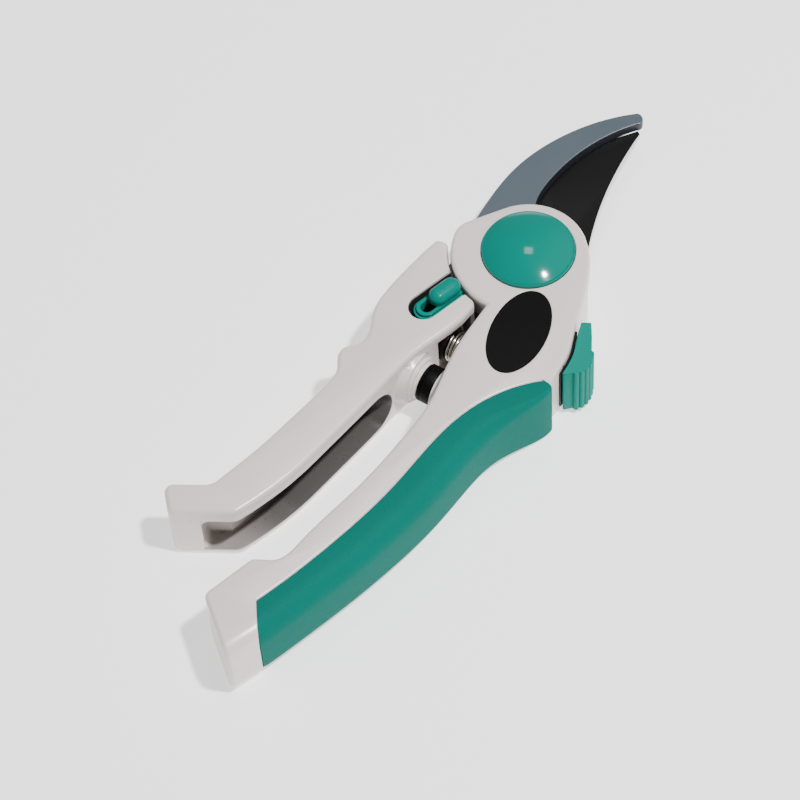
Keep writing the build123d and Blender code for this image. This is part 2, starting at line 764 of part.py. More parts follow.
with BuildPart() as lever_casting:
    with BuildSketch() as plan:
        with BuildLine():
            lever_lines()
        make_face()
        corners = plan.vertices()
        fillet(near_points(corners, [prong_tip, lever_end_inner, lever_end_outer]), lever_soft)
        fillet(near_points(plan.vertices(), [lever_tip, lever_tip_outer]), lever_tip_round)
        fillet(near_points(plan.vertices(), [lever_bend, lever_flare]), bend_soft)
    extrude(amount=thickness)
    fillet(top_and_bottom(lever_casting.part), lever_round)
    # round tang under the blade, and the neck that joins it to the lever
    with BuildSketch():
        Circle(ring_radius)
        with BuildLine():
            Polyline(tang_neck, close=True)
        make_face()
    extrude(amount=tang_height)
    with BuildSketch():
        Circle(head_recess_radius)
    extrude(amount=head_recess_height, mode=Mode.SUBTRACT)
    with BuildSketch():
        Circle(bush_radius + shaft_gap)
    extrude(amount=tang_height, mode=Mode.SUBTRACT)
    ring_screw_holes(blade_top, -1, blade_screw_length, blade_thickness)
    # boss for the bumper
    with BuildSketch(across_x(boss_root, bumper_y)):
        Circle(boss_radius + boss_flare)
    with BuildSketch(across_x(bumper_lever_face - 2 * boss_step, bumper_y)):
        Circle(boss_radius)
    loft()
    along_x(boss_step_radius, boss_root, bumper_lever_face - boss_step, bumper_y)
    along_x(bumper_radius, boss_root, bumper_lever_face, bumper_y)
    along_x(bumper_screw_radius + shaft_gap, boss_root + 1, 0, bumper_y, Mode.SUBTRACT)
    # recess round the spring, and the bore for its seat
    with BuildSketch(Plane.XY.offset(mid - spring_recess_height / 2)):
        with BuildLine():
            Polyline(*spring_recess_floor, *[(0, y) for x, y in reversed(spring_recess_floor)], close=True)
        make_face()
    extrude(amount=spring_recess_height, mode=Mode.SUBTRACT)
    lever_seat_floor = spring_lever_end - seat_gap - lever_seat_thickness
    along_x(seat_radius + shaft_gap, lever_seat_floor, 0, spring_y, Mode.SUBTRACT)
    # lock: open slot, pocket for the bolt below it, hole for the ball
    slot_shape(slot_radius, 0, slot_run, slot_floor, slot_depth, Mode.SUBTRACT)
    with BuildSketch(Plane.XY.offset(pocket_floor)):
        with BuildLine():
            Polyline(lock_bar(lock_pocket_width, lock_pocket_start, slot_run), close=True)
        make_face()
    extrude(amount=lock_pocket_height, mode=Mode.SUBTRACT)
    with BuildSketch(Plane.XY.offset(pocket_floor)):
        with Locations(on_slot(ball_place)):
            Circle(ball_radius + shaft_gap)
    extrude(amount=-ball_hole_depth, mode=Mode.SUBTRACT)
    # finger channel, open towards the body
    add(channel.part, mode=Mode.SUBTRACT)
lever_casting.part.label = "lever_casting"
export_step(lever_casting.part, "parts/lever_casting.step")

with BuildPart() as lock_guide:
    guide_top = thickness - guide_drop
    slot_shape(guide_radius, guide_start, slot_run, slot_floor, guide_top - slot_floor)
    slot_shape(guide_lip_radius, guide_start, slot_run, guide_top, guide_lip)
    slot_shape(window_radius, window_start, window_end, slot_floor, slot_depth, Mode.SUBTRACT)
    # its open end is flush with the lever's head
    with BuildSketch(Plane.XY.offset(slot_floor)):
        Circle(lever_arc)
    extrude(amount=slot_depth, mode=Mode.SUBTRACT)
lock_guide.part.label = "lock_guide"
export_step(lock_guide.part, "parts/lock_guide.step")


# --- Lock knob and its bolt --------------------------------------------------------------------

bolt_base = pocket_floor + lock_gap
bolt_top = bolt_base + lock_bolt_thickness
knob_base = guide_top + guide_lip + running_gap
stem_middle = (stem_start + stem_end) / 2

with BuildPart() as lock_knob:
    half = knob_length / 2 - knob_radius
    knob_height = thickness + knob_rise - knob_base
    slot_shape(knob_radius, knob_centre - half, knob_centre + half, knob_base, knob_height)
    fillet(lock_knob.edges().group_by(Axis.Z)[-1], knob_round)
    slot_shape(stem_radius, stem_start, stem_end, bolt_top, knob_base - bolt_top)
    with BuildSketch(Plane.XY.offset(bolt_top)):
        with Locations(on_slot(stem_middle)):
            Circle(lock_screw_radius + shaft_gap)
    extrude(amount=lock_screw_length - lock_bolt_thickness + shaft_gap, mode=Mode.SUBTRACT)
lock_knob.part.label = "lock_knob"
export_step(lock_knob.part, "parts/lock_knob.step")

head_depth = lock_screw_head - lock_screw_radius
with BuildPart() as lock_bolt:
    with BuildSketch(Plane.XY.offset(bolt_base)) as bar:
        with BuildLine():
            Polyline(lock_bar(lock_bolt_width, lock_bolt_start, lock_bolt_end), close=True)
        make_face()
        nose = near_points(bar.vertices(), lock_bar(lock_bolt_width, lock_bolt_start, lock_bolt_end)[1:3])
        fillet(nose, lock_nose_round)
    extrude(amount=lock_bolt_thickness)
    with Locations(on_slot(stem_middle, z=bolt_base)):
        Cylinder(lock_screw_radius + shaft_gap, lock_bolt_thickness, align=upright, mode=Mode.SUBTRACT)
        Cone(
            lock_screw_head + shaft_gap, lock_screw_radius + shaft_gap, head_depth, align=upright,
            mode=Mode.SUBTRACT,
        )
    # dimples that the ball clicks into, locked and unlocked
    with Locations(on_slot(ball_place, z=ball_z), on_slot(ball_place + lock_travel, z=ball_z)):
        Sphere(ball_radius + dimple_depth, mode=Mode.SUBTRACT)
lock_bolt.part.label = "lock_bolt"
export_step(lock_bolt.part, "parts/lock_bolt.step")

with BuildPart() as lock_screw:
    with Locations(on_slot(stem_middle, z=bolt_base)):
        Cylinder(lock_screw_radius, lock_screw_length, align=upright)
        Cone(lock_screw_head, lock_screw_radius, head_depth, align=upright)
        Box(2 * lock_screw_head, screw_slot_width, head_depth / 2, align=upright, mode=Mode.SUBTRACT)
lock_screw.part.label = "lock_screw"
export_step(lock_screw.part, "parts/lock_screw.step")

with BuildPart() as detent_ball:
    with Locations(on_slot(ball_place, z=ball_z)):
        Sphere(ball_radius)
detent_ball.part.label = "detent_ball"
export_step(detent_ball.part, "parts/detent_ball.step")


def coil_spring(name, start, direction, length, radius, wire, turns):
    """A helical spring between two flat seats; start is the middle of its first end."""
    along = Vector(direction)
    first = Vector(start) + along * wire
    with BuildPart() as part:
        with BuildLine() as coil:
            rise = length - 2 * wire
            Helix(rise / turns, rise, radius - wire, center=first, direction=along)
        with BuildSketch(Plane(origin=coil.line @ 0, z_dir=coil.line % 0)):
            Circle(wire)
        sweep(is_frenet=True)
    part.part.label = name
    export_step(part.part, f"parts/{name}.step")


detent_base = pocket_floor - ball_hole_depth
coil_spring(
    "detent_spring", on_slot(ball_place, z=detent_base), (0, 0, 1), ball_z - ball_radius - detent_base,
    ball_radius - detent_wire, detent_wire, detent_turns,
)


# --- Bumper and return spring ------------------------------------------------------------------

screw_head_top = bumper_body_face - bumper_screw_sink
screw_head_base = screw_head_top - bumper_screw_thickness

with BuildPart() as bumper:
    along_x(bumper_radius, bumper_lever_face, bumper_body_face, bumper_y)
    fillet(bumper.edges().group_by(Axis.X)[-1], bumper_round)
    along_x(bumper_screw_radius + shaft_gap, bumper_lever_face, bumper_body_face, bumper_y, Mode.SUBTRACT)
    along_x(bumper_screw_head + shaft_gap, screw_head_base, bumper_body_face, bumper_y, Mode.SUBTRACT)
bumper.part.label = "bumper"
export_step(bumper.part, "parts/bumper.step")

with BuildPart() as bumper_screw:
    along_x(bumper_screw_radius, bumper_screw_end, screw_head_base, bumper_y)
    along_x(bumper_screw_head, screw_head_base, screw_head_top, bumper_y)
    with Locations((screw_head_top, bumper_y, mid)):
        Box(bumper_screw_thickness, screw_slot_width, 2 * bumper_screw_head, mode=Mode.SUBTRACT)
bumper_screw.part.label = "bumper_screw"
export_step(bumper_screw.part, "parts/bumper_screw.step")


def spring_seat(name, floor, thick, step):
    """A disc with a peg that centres the spring; step is 1 or -1, the way it faces along X."""
    face = floor + step * thick
    with BuildPart() as part:
        along_x(seat_radius, min(floor, face), max(floor, face), spring_y)
        peg_end = face + step * seat_peg_height
        along_x(seat_peg_radius, min(face, peg_end), max(face, peg_end), spring_y)
    part.part.label = name
    export_step(part.part, f"parts/{name}.step")


spring_seat("spring_seat_lever", lever_seat_floor, lever_seat_thickness, 1)
spring_seat("spring_seat_body", body_seat_floor, seat_thickness, -1)
coil_spring(
    "handle_spring", (spring_lever_end, spring_y, mid), (1, 0, 0), spring_body_end - spring_lever_end,
    spring_radius, wire_radius, spring_turns,
)


# --- Thumb slider ------------------------------------------------------------------------------

with BuildPart() as slider_strip:
    with BuildSketch(Plane.XY.offset(mid - strip_height / 2)):
        with BuildLine():
            inside = Spline(shifted(slider_side, (-slider_wrap[0], -slider_wrap[1])))
            face = Spline(shifted(slider_side, slider_wrap))
            Line(inside @ 0, face @ 0)
            Line(inside @ 1, face @ 1)
        make_face()
    extrude(amount=strip_height)
    add(body_casting.part, mode=Mode.SUBTRACT)
    strip_pegs(strip_peg_radius, 0, Mode.ADD)
    shank_slot(-strip_reach, strip_reach)
slider_strip.part.label = "slider_strip"
export_step(slider_strip.part, "parts/slider_strip.step")

slider_step = (slider_wrap[0] + slider_gap[0], slider_wrap[1] + slider_gap[1])
with BuildPart() as thumb_slider:
    with BuildSketch(Plane.XY.offset(mid - slider_height / 2)) as plan:
        with BuildLine():
            face = Spline(shifted(slider_side, slider_step))
            back = Spline(slider_back)
            Polyline(back @ 1, slider_toe, face @ 0)
            Polyline(face @ 1, slider_nose, back @ 0)
        make_face()
    extrude(amount=slider_height)
    for i in range(rib_count):
        with BuildSketch(Plane.XY.offset(mid - slider_height / 2)):
            with Locations(back @ (rib_start + i * rib_step)):
                Circle(rib_radius)
        extrude(amount=slider_height)
    slide_block(-shank_length / 2, shank_length / 2, shank_root, shank_reach, shank_height, Mode.ADD)
    slider_peg(peg_radius, Mode.ADD)
thumb_slider.part.label = "thumb_slider"
export_step(thumb_slider.part, "parts/thumb_slider.step")

with BuildPart() as slider_plate:
    with BuildSketch(slide_plane(shank_reach)):
        RectangleRounded(plate_length, plate_height, plate_corner)
        Circle(peg_radius + shaft_gap, mode=Mode.SUBTRACT)
    extrude(amount=plate_thickness)
slider_plate.part.label = "slider_plate"
export_step(slider_plate.part, "parts/slider_plate.step")
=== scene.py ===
# %% [markdown]
# # Bypass pruning shears
# The shears lie closed on their side: a painted body with a green rubber grip, a painted lever
# with a finger channel, a blue-grey hook over a black blade, and a green cap, knob and thumb
# slider. The CAD model is the fixed frame. The new pieces are built around it in metres, and
# take their places and main sizes from the boxes and meshes of its nodes.

# %% Load the fixed frame
import json
import math

import bmesh
import bpy
import numpy as np
from mathutils import Matrix, Vector
from mathutils.bvhtree import BVHTree


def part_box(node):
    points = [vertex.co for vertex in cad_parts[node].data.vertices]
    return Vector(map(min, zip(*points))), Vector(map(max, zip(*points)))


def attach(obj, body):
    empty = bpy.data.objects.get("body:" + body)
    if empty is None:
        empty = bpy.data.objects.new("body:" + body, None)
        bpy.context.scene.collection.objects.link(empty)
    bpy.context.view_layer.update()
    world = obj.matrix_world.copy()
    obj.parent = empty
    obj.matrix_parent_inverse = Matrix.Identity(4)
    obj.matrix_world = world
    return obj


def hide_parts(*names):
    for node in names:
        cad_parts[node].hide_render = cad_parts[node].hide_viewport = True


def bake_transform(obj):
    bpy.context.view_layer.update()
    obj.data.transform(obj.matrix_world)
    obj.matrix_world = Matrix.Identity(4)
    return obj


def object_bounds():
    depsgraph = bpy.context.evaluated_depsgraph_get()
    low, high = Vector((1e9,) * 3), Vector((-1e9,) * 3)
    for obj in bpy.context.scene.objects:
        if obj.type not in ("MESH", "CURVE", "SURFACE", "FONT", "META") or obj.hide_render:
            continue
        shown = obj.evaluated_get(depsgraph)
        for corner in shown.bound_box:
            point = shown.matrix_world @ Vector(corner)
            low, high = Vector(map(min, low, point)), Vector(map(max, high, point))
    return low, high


MM = 0.001  # one millimetre, in Blender's metres
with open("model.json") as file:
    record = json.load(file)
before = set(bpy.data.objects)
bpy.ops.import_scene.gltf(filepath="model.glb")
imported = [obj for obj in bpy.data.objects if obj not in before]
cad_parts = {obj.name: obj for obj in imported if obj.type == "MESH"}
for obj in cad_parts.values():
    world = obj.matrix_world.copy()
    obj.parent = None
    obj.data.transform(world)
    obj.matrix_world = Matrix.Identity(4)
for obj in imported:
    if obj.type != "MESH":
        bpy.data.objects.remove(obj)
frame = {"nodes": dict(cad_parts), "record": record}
cad_low, cad_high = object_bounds()
print("CAD box", [round(x / MM, 1) for x in cad_high - cad_low], "mm")

# %% [markdown]
# ## Camera, floor and light
# A small product is shot from far away with a long lens, so that its handles keep their
# proportions. The camera stands to the lower right of the shears and looks down at them, turned
# a little about its own axis. Its place is worked out from angles and a distance, because those
# are what one would set on a real tripod.

# %% Camera
azimuth, elevation, roll = math.radians(36.5), math.radians(56), math.radians(-4.6)
aim = Vector((-7.6, -53.6, 10.0)) * MM
distance = 0.802

around = Matrix.Rotation(azimuth, 4, "Z")
down = Matrix.Rotation(math.pi / 2 - elevation, 4, "X")
back = Matrix.Translation((0, 0, distance))
tilt = Matrix.Rotation(roll, 4, "Z")
camera = bpy.data.objects.new("camera", bpy.data.cameras.new("camera"))
camera.matrix_world = Matrix.Translation(aim) @ around @ down @ back @ tilt
camera.data.lens = 135
camera.data.clip_start = 0.05
bpy.context.scene.collection.objects.link(camera)
bpy.context.scene.camera = camera
print("camera at", [round(x, 3) for x in camera.matrix_world.translation])

# %% [markdown]
# The floor is a plain pale sheet, larger than the view, and it glows a little, so that it stays
# as clean as a lit studio table. It lies a hair below the shears, because two surfaces in the
# same place flicker.

# %% Floor
PALE = (0.9, 0.9, 0.9, 1.0)
WHITE = (1.0, 1.0, 1.0, 1.0)
FLOOR_GAP = 0.02 * MM

floor_mesh = bmesh.new()
bmesh.ops.create_grid(floor_mesh, x_segments=1, y_segments=1, size=3.0)
floor_data = bpy.data.meshes.new("floor")
floor_mesh.to_mesh(floor_data)
floor_mesh.free()
floor = bpy.data.objects.new("floor", floor_data)
floor.location.z = cad_low.z - FLOOR_GAP
bpy.context.scene.collection.objects.link(floor)
floor_paint = bpy.data.materials.new("floor_paint")
floor_paint.use_nodes = True
floor_shader = floor_paint.node_tree.nodes["Principled BSDF"]
floor_shader.inputs["Base Color"].default_value = PALE
floor_shader.inputs["Roughness"].default_value = 0.9
floor_shader.inputs["Specular IOR Level"].default_value = 0.0
floor_shader.inputs["Emission Color"].default_value = WHITE
floor_shader.inputs["Emission Strength"].default_value = 0.9
floor_data.materials.append(floor_paint)
print("floor at", round(floor.location.z / MM, 2), "mm")

# %% [markdown]
# The light comes from a bright room and three soft boxes: a small key lamp high on the right,
# which puts the small bright spot on the round cap, a wide fill in front, and a weak lamp behind.
# Flat faces that look up mirror the place straight behind the shears, so no lamp stands there,
# and black stays black. A soft box is an area light, and its size sets how soft its shadows are.

# %% Lights


def soft_box(name, direction, away, size, power):
    """An area light that faces the shears from a direction, so many metres away."""
    light = bpy.data.objects.new(name, bpy.data.lights.new(name, "AREA"))
    light.data.size = size
    light.data.energy = power
    place = aim + Vector(direction).normalized() * away
    facing = (place - aim).to_track_quat("Z", "Y").to_matrix().to_4x4()
    light.matrix_world = Matrix.Translation(place) @ facing
    bpy.context.scene.collection.objects.link(light)


soft_box("key", direction=(0.38, 0.08, 0.92), away=1.3, size=0.08, power=24)
soft_box("fill", direction=(0.55, -0.75, 0.5), away=1.2, size=0.9, power=0.4)
soft_box("behind", direction=(-0.17, 0.33, 0.93), away=1.3, size=0.22, power=1.6)

world = bpy.context.scene.world or bpy.data.worlds.new("world")
bpy.context.scene.world = world
world.use_nodes = True
world.node_tree.nodes["Background"].inputs["Color"].default_value = WHITE
world.node_tree.nodes["Background"].inputs["Strength"].default_value = 0.26

# %% [markdown]
# ## Writing materials as sums
# Node trees are easier to read as formulas. `Value` wraps one socket, and Python's own operators
# add the Math nodes. `Finish` holds one material: its `node` method adds any other node, and
# `surface` gives numbers or values to the sockets of the surface shader. Patterns read Object
# coordinates, so they stay at the scale of the part.

# %% Shader maths


class Value:
    """A number, colour or vector in a shader, with Python's operators for numbers."""

    def __init__(self, finish, socket):
        self.finish = finish
        self.socket = socket

    def maths(self, operation, first, second):
        return self.finish.node("ShaderNodeMath", {"operation": operation}, {0: first, 1: second})

    def __add__(self, other):
        return self.maths("ADD", self, other)

    def __mul__(self, other):
        return self.maths("MULTIPLY", self, other)

    def __sub__(self, other):
        return self.maths("SUBTRACT", self, other)

    def __rsub__(self, other):
        return self.maths("SUBTRACT", other, self)

    def __pow__(self, other):
        return self.maths("POWER", self, other)

    def __abs__(self):
        return self.maths("ABSOLUTE", self, 0.0)

    __radd__ = __add__
    __rmul__ = __mul__

    def largest(self, other):
        return self.maths("MAXIMUM", self, other)

    def smallest(self, other):
        return self.maths("MINIMUM", self, other)

    def step(self, low, high):
        """0 below low, 1 above high, and a smooth rise between them."""
        settings = {"interpolation_type": "SMOOTHSTEP"}
        inputs = {"Value": self, "From Min": low, "From Max": high}
        return self.finish.node("ShaderNodeMapRange", settings, inputs)

    def rise(self, low, high):
        """A step for a length, with its two ends in millimetres."""
        return self.step(low * MM, high * MM)

    def fall(self, low, high):
        """The same the other way round: 1 below low, and 0 above high."""
        return 1 - self.rise(low, high)


# %% [markdown]
# The Mix node holds several sockets of the same name, one for each kind of data, so its colour
# sockets are picked by number. A colour can't go through a Math node, which would turn it grey.

# %% One material
MIX_SHARE, MIX_FIRST, MIX_SECOND, MIX_COLOUR = 0, 6, 7, 2
FLAT = (1.0, 1.0, 0.0)  # keeps X and Y and drops the height


class Finish:
    """A material, and the one method that adds its nodes."""

    def __init__(self, name, **numbers):
        self.material = bpy.data.materials.new(name)
        self.material.use_nodes = True
        self.tree = self.material.node_tree
        self.shader = self.tree.nodes["Principled BSDF"]
        self.surface(**numbers)

    def node(self, kind, settings=None, inputs=None, output=0):
        """Adds a node, sets it up, joins its inputs and gives back one of its outputs."""
        made = self.tree.nodes.new(kind)
        for name, setting in (settings or {}).items():
            setattr(made, name, setting)
        for name, number in (inputs or {}).items():
            self.feed(made.inputs[name], number)
        return Value(self, made.outputs[output])

    def feed(self, socket, number):
        """Links a value to a socket, or sets a plain number on it."""
        if isinstance(number, Value):
            self.tree.links.new(number.socket, socket)
        else:
            socket.default_value = number

    def surface(self, **values):
        """Gives values to the surface shader; Base_Color stands for its socket Base Color."""
        for socket, value in values.items():
            self.feed(self.shader.inputs[socket.replace("_", " ")], value)

    def place(self):
        return self.node("ShaderNodeTexCoord", output="Object")

    def along(self, vector, axis):
        """How far a vector goes along an axis."""
        return self.node("ShaderNodeSeparateXYZ", inputs={0: vector}, output=axis)

    def noise(self, per_metre, detail=2.0, stretch=(1, 1, 1)):
        """A cloudy pattern, from 0 to 1, with so many clouds to a metre."""
        where = self.node("ShaderNodeMapping", inputs={"Vector": self.place(), "Scale": stretch})
        inputs = {"Vector": where, "Scale": per_metre, "Detail": detail}
        return self.node("ShaderNodeTexNoise", inputs=inputs)

    def mixed(self, share, first, second):
        """A colour between two colours."""
        inputs = {MIX_SHARE: share, MIX_FIRST: first, MIX_SECOND: second}
        return self.node("ShaderNodeMix", {"data_type": "RGBA"}, inputs, output=MIX_COLOUR)

    def bumps(self, height, depth):
        """Relief on the surface: height goes from 0 to 1, and depth is in millimetres."""
        inputs = {"Height": height, "Distance": depth * MM, "Strength": 1.0}
        return self.node("ShaderNodeBump", inputs=inputs)

    def from_pivot(self):
        """Distance from the pivot's axis, in metres."""
        multiply = {"operation": "MULTIPLY"}
        flat = self.node("ShaderNodeVectorMath", multiply, {0: self.place(), 1: FLAT})
        return self.node("ShaderNodeVectorMath", {"operation": "LENGTH"}, {0: flat}, "Value")

    def facing(self, axis):
        """How much the surface faces along an axis, from -1 to 1."""
        return self.along(self.node("ShaderNodeTexCoord", output="Normal"), axis)

    def upright(self):
        """1 where the surface stands upright, 0 where it faces up or down."""
        return 1 - abs(self.facing("Z")).step(0.35, 0.8)


# %% [markdown]
# Colours are easiest to choose as the six digits that a colour picker shows. Shaders want the
# amount of light instead, so `tint` undoes the curve that screens use, and may brighten a little.

# %% Colours


def light_of(share):
    """The amount of light for one channel of a screen colour, both from 0 to 1."""
    return share / 12.92 if share <= 0.04045 else ((share + 0.055) / 1.055) ** 2.4


def tint(code, bright=1.0):
    """A colour written as six hexadecimal digits, in the light values that the shader wants."""
    shares = [int(code[i:i + 2], 16) / 255 for i in (0, 2, 4)]
    return (*[min(1, bright * light_of(share)) for share in shares], 1.0)


print("a grey half as bright as white is", round(tint("BCBCBC")[0], 3))

# %% [markdown]
# ## Finishes
# Each finish is a short function of its own. The paint on a die casting is satin, with the faint
# orange peel of powder coat and slow clouds of tone. In some recesses and gaps of the castings,
# shade is painted into the colour as a dark tone, so the paint may take a function that says
# where.

# %% Paint


def casting_paint(name, painted_shade=None):
    """Satin powder coat; the optional mask function gives 1 where shade is painted in as a dark
    tone.
    """
    paint = Finish(name, IOR=1.5)
    clouds = paint.noise(per_metre=45, detail=3)
    peel = paint.noise(per_metre=620, detail=2)
    grain = paint.noise(per_metre=5200, detail=1)
    tone = paint.mixed(clouds, tint("DDD3CF"), tint("E6DDD9"))
    tone = paint.mixed(grain.step(0.64, 0.72) * 0.25, tone, tint("EFEAE6"))
    # Painted shade: a dark tone stands in for the shade in the castings' narrow gaps and recesses.
    if painted_shade:
        tone = paint.mixed(painted_shade(paint), tone, tint("2E2D2B"))
    paint.surface(Base_Color=tone, Metallic=peel * 0.08, Roughness=peel * 0.10 + 0.24)
    paint.surface(Normal=paint.bumps(peel, depth=0.018))
    return paint.material


# %% [markdown]
# Shade is painted onto the lever as a dark tone in its finger channel, in the recess round the
# spring, in the lock's slot and where it runs close beside the head. This painted shade has soft
# edges, so it isn't set face by face.
# Each place is a mask on the part's own coordinates instead: 1 inside, 0 outside, and a short
# rise or fall between, whose two ends are given in millimetres.

# %% Painted shade of the lever


def finger_channel_shade(x, y, z):
    """Painted shade in the channel, a slot with a round upper end, fading towards the lower end.
    """
    middle_height, round_end = 9.08 * MM, -61.18 * MM
    past_round_end = (y - round_end).largest(0.0)
    from_middle = (abs(z - middle_height) ** 2 + past_round_end ** 2) ** 0.5
    wall_place, wall_slant = -12.85 * MM, 0.149
    foot_start, foot_slant = -104 * MM, 1.2
    from_outer_wall = x - y * wall_slant - wall_place
    foot_bends_out = foot_slant * (foot_start - y).largest(0.0)
    inside = (from_outer_wall + foot_bends_out).rise(1.9, 2.8)
    end_x, end_y, part_of_x, part_of_y = -28.2 * MM, -117 * MM, 0.872, 0.49
    above_end_wall = ((x - end_x) * part_of_x + (y - end_y) * part_of_y).rise(-0.4, 0.0)
    # The painted shade is deepest low on the walls, and lighter towards the lower end.
    low_wall = z.fall(2.3, 4.5) * (0.68 + 0.24 * y.rise(-112, -95))
    other_walls = 0.25 + 0.7 * y.rise(-114, -90)
    return from_middle.fall(6.97, 7.12) * inside * other_walls.largest(low_wall) * above_end_wall


def spring_recess_shade(x, y, z):
    """Painted shade in the recess round the spring, fading slowly towards the bumper."""
    middle_height = 10.25 * MM
    in_height = abs(z - middle_height).fall(6.95, 7.05)
    return in_height * x.rise(-9.5, -9.0) * y.fall(-19.2, -18.8) * y.rise(-36.0, -29.0)


def lock_slot_shade(x, y, z):
    """Painted shade on the lock slot's walls; round at the lower end, leaning as the lock slides.
    """
    end_x, end_y, lean = -14.3 * MM, -30.5 * MM, math.radians(73)
    across = (x - end_x) * -math.sin(lean) + (y - end_y) * math.cos(lean)
    along = (x - end_x) * math.cos(lean) + (y - end_y) * math.sin(lean)
    from_line = (across ** 2 + along.smallest(0.0) ** 2) ** 0.5
    return from_line.fall(4.25, 4.35) * z.rise(13.0, 13.5) * z.fall(19.3, 20.0)


def lever_painted_shade(paint):
    """All painted shade of the lever; a share beside each place says how dark it is, up to 1."""
    x, y, z = (paint.along(paint.place(), axis) for axis in "XYZ")
    out = paint.from_pivot()
    # Painted shade beside the head and on the tang's top, in the narrow gap between lever and
    # head.
    beside_head_shade = out.rise(20.4, 21.0) * out.fall(22.2, 22.6) * z.fall(18.4, 19.4)
    tang_height = 7 * MM
    tang_top_shade = out.fall(24, 25) * abs(z - tang_height).fall(0.1, 0.2)
    shade_share = finger_channel_shade(x, y, z).largest(spring_recess_shade(x, y, z) * 0.9)
    shade_share = shade_share.largest(lock_slot_shade(x, y, z))
    return shade_share.largest(beside_head_shade * 0.85).largest(tang_top_shade * 0.8)


# %% Painted shade of the body


def head_gap_painted_shade(paint):
    """Painted shade on the head's side where the lever stands close; 0 on the rest of the body."""
    x, y, z = (paint.along(paint.place(), axis) for axis in "XYZ")
    out = paint.from_pivot()
    # Painted shade: the head's side is darkened where it lies in the narrow gap beside the lever.
    side = out.rise(20.7, 21.1) * out.fall(21.6, 21.9)
    return side * x.fall(-3, 1) * y.fall(-10, -6) * z.fall(17, 20) * 0.7


# %% [markdown]
# Moulded plastic is smoother and shinier than paint, and rubber is matte, with a fine grain of
# pores. Both keep one colour, which drifts by a few percent over the piece.

# %% Plastics and rubber


def moulded_plastic(name, code, rough, relief, ior=1.4, gloss=0.4):
    """Plastic with a roughness from 0 to 1, and a grain whose relief is in millimetres."""
    plastic = Finish(name, IOR=ior, Specular_IOR_Level=gloss)
    clouds = plastic.noise(per_metre=70, detail=2)
    grain = plastic.noise(per_metre=2600, detail=2)
    plastic.surface(Base_Color=plastic.mixed(clouds, tint(code, 0.95), tint(code, 1.05)))
    plastic.surface(Roughness=grain * 0.08 + (rough - 0.04))
    plastic.surface(Normal=plastic.bumps(grain, depth=relief))
    return plastic.material


def soft_rubber(name, code, rough, relief):
    """Matte rubber; its pores are a little darker and rougher than the skin round them."""
    rubber = Finish(name, IOR=1.33, Specular_IOR_Level=0.2)
    clouds = rubber.noise(per_metre=55, detail=3)
    skin = rubber.noise(per_metre=1900, detail=3).step(0.32, 0.5)
    tone = clouds * 0.6 + skin * 0.4
    rubber.surface(Base_Color=rubber.mixed(tone, tint(code, 0.9), tint(code, 1.06)))
    rubber.surface(Roughness=rough - skin * 0.08)
    rubber.surface(Normal=rubber.bumps(skin, depth=relief))
    return rubber.material


# %% [markdown]
# The hook and the blade are coated steel, so each mixes two looks by which way the surface
# faces. The hook's upright edges carry painted shade, and a band near the pivot is darker. The
# blade's upright edge is ground bare on the side away from the hook, with fine scratches. The
# screws, the spring and the pivot's own parts are plain metal with drawn lines.

# %% Steels


def hook_coating():
    """Satin blue-grey, with painted shade on its upright edges, and darker near the pivot."""
    coat = Finish("hook_coating", IOR=1.5)
    grain = coat.noise(per_metre=1500, detail=2)
    clouds = coat.noise(per_metre=60, detail=2)
    # A band near the pivot is made darker; the upright edges get painted shade, darker than the
    # face.
    near_pivot = coat.from_pivot().fall(19.2, 19.9) * 0.45
    face = coat.mixed(clouds, tint("555F68"), tint("5B666F"))
    face = coat.mixed(near_pivot, face, tint("434E57"))
    coat.surface(Base_Color=coat.mixed(coat.upright(), face, tint("2A2C36")))
    coat.surface(Metallic=0.35, Roughness=grain * 0.12 + 0.34)
    coat.surface(Normal=coat.bumps(grain, depth=0.01))
    return coat.material


def blade_coating():
    """Black coating, with a bare ground edge on the side away from the hook."""
    coat = Finish("blade_coating", IOR=1.33)
    grain = coat.noise(per_metre=1800, detail=2)
    scratches = coat.noise(per_metre=420, detail=2, stretch=(1, 9, 1))
    bare = coat.upright() * coat.facing("X").step(0.0, 0.3)
    steel = coat.mixed(scratches, tint("B9BABD"), tint("E6E7E9"))
    coat.surface(Base_Color=coat.mixed(bare, tint("0D0D0E"), steel))
    coat.surface(Metallic=bare, Roughness=grain * 0.12 + 0.30)
    coat.surface(Normal=coat.bumps(grain * (1 - bare) + scratches * bare, depth=0.008))
    return coat.material


def bright_metal(name, code, rough):
    """Bare metal with fine drawn lines."""
    metal = Finish(name, Metallic=1.0)
    lines = metal.noise(per_metre=900, detail=3, stretch=(1, 1, 6))
    metal.surface(Base_Color=metal.mixed(lines, tint(code, 0.88), tint(code, 1.08)))
    metal.surface(Roughness=lines * 0.15 + (rough - 0.07))
    metal.surface(Normal=metal.bumps(lines, depth=0.004))
    return metal.material


# %% [markdown]
# Every material slot of the record gets its finish, and every CAD node takes the finish of its
# slot. The greens differ a little, because rubber, satin and glossy plastic send back different
# amounts of light from the same dye.

